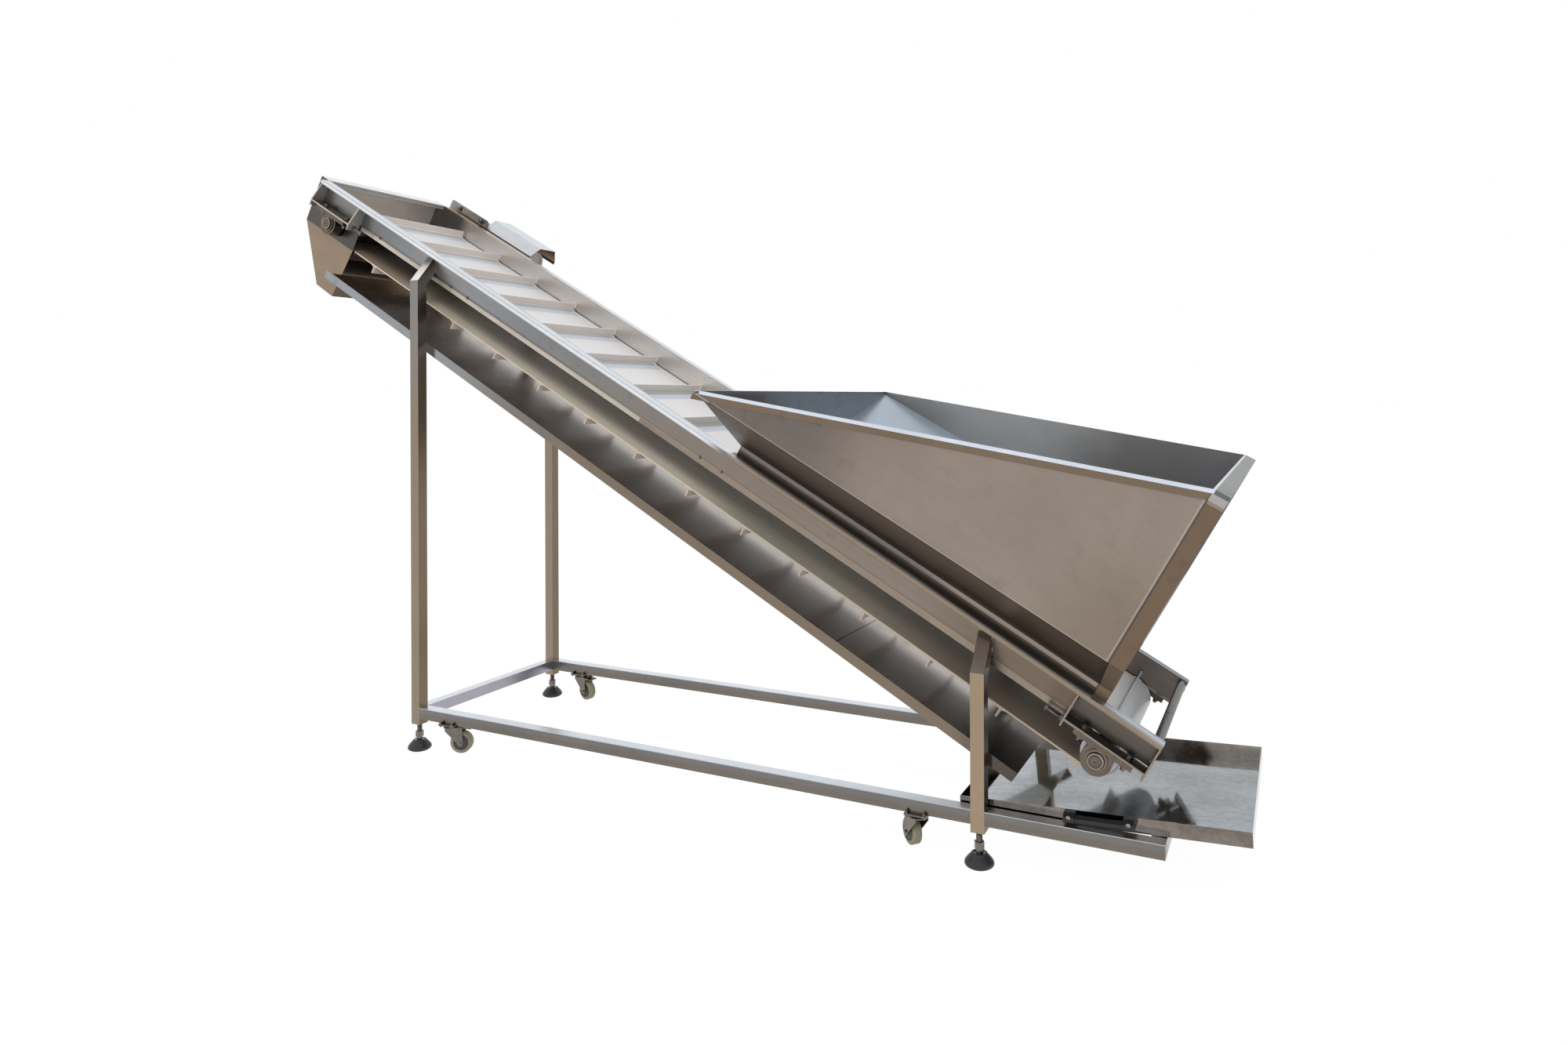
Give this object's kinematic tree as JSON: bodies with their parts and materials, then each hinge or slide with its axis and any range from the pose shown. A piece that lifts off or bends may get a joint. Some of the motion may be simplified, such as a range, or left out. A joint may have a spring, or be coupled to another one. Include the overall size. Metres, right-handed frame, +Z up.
{
  "type": "inclined flighted belt conveyor",
  "caption": "Inclined flighted-belt conveyor with a wide feed hopper, a discharge chute and a pull-out drip tray, on a stainless tube frame with casters and levelling feet.",
  "frame": {"origin": "centre of the machine's length and width, at the floor", "axes": "+X towards the hopper and drip tray end, +Y towards the drive side, +Z up"},
  "size_m": [3.3996, 1.342, 2.1255],
  "materials": {
    "steel": "brushed",
    "sheet": "brushed",
    "belt": "satin",
    "bearing": "bright",
    "gearbox": "satin",
    "motor": "satin",
    "rubber": "matte",
    "tyre": "matte",
    "zinc": "zinc plated",
    "black_plastic": "matte"
  },
  "bodies": {
    "conveyor": {"base_rail_near": "steel", "base_rail_far": "steel", "tail_rail_near": "steel", "tail_rail_far": "steel", "cross_tube_head": "steel", "cross_tube_tail": "steel", "cross_tube_end": "steel", "post_head_near": "steel", "post_head_far": "steel", "post_tail_near": "steel", "post_tail_far": "steel", "foot_pads": "rubber", "foot_spindles": "zinc", "side_plate_near": "sheet", "side_plate_far": "sheet", "slider_bed": "sheet", "belt": "belt", "drive_drum": "steel", "tail_drum": "steel", "head_bearings": "bearing", "tail_bearings": "bearing", "head_bracket_near": "steel", "head_bracket_far": "steel", "tail_bracket_near": "steel", "tail_bracket_far": "steel", "take_up_screws": "zinc", "tail_bar": "steel", "hopper": "sheet", "return_pan": "sheet", "discharge_chute": "sheet", "motor_plate": "steel", "gearbox": "gearbox", "motor": "motor", "motor_guard": "sheet", "caster_plates": "zinc"},
    "fork_head_near": {"caster_fork_head_near": "zinc"},
    "wheel_head_near": {"caster_core_head_near": "black_plastic", "caster_tyre_head_near": "tyre"},
    "fork_head_far": {"caster_fork_head_far": "zinc"},
    "wheel_head_far": {"caster_core_head_far": "black_plastic", "caster_tyre_head_far": "tyre"},
    "fork_tail_near": {"caster_fork_tail_near": "zinc"},
    "wheel_tail_near": {"caster_core_tail_near": "black_plastic", "caster_tyre_tail_near": "tyre"},
    "fork_tail_far": {"caster_fork_tail_far": "zinc"},
    "wheel_tail_far": {"caster_core_tail_far": "black_plastic", "caster_tyre_tail_far": "tyre"},
    "tray": {"drip_tray": "sheet", "tray_handle": "black_plastic"}
  },
  "joints": [
    {"name": "swivel_head_near", "type": "hinge", "parent": "conveyor", "child": "fork_head_near", "pos_m": [-0.87539, -0.346, 0.104], "axis": [0, 0, 1], "continuous": true},
    {"name": "roll_head_near", "type": "hinge", "parent": "fork_head_near", "child": "wheel_head_near", "pos_m": [-0.84421, -0.33011, 0.0495], "axis": [-0.454, 0.891, 0], "continuous": true},
    {"name": "swivel_head_far", "type": "hinge", "parent": "conveyor", "child": "fork_head_far", "pos_m": [-0.87539, 0.346, 0.104], "axis": [0, 0, 1], "continuous": true},
    {"name": "roll_head_far", "type": "hinge", "parent": "fork_head_far", "child": "wheel_head_far", "pos_m": [-0.84104, 0.33932, 0.0495], "axis": [0.1908, 0.9816, 0], "continuous": true},
    {"name": "swivel_tail_near", "type": "hinge", "parent": "conveyor", "child": "fork_tail_near", "pos_m": [0.85661, -0.346, 0.104], "axis": [0, 0, 1], "continuous": true},
    {"name": "roll_tail_near", "type": "hinge", "parent": "fork_tail_near", "child": "wheel_tail_near", "pos_m": [0.82979, -0.3235, 0.0495], "axis": [-0.6428, -0.766, 0], "continuous": true},
    {"name": "swivel_tail_far", "type": "hinge", "parent": "conveyor", "child": "fork_tail_far", "pos_m": [0.85661, 0.346, 0.104], "axis": [0, 0, 1], "continuous": true},
    {"name": "roll_tail_far", "type": "hinge", "parent": "fork_tail_far", "child": "wheel_tail_far", "pos_m": [0.82372, 0.35797, 0.0495], "axis": [-0.342, -0.9397, 0], "continuous": true},
    {"name": "tray_slide", "type": "slide", "parent": "conveyor", "child": "tray", "axis": [0.9988, 0, 0.0482], "range_m": [0, 0.4]}
  ]
}
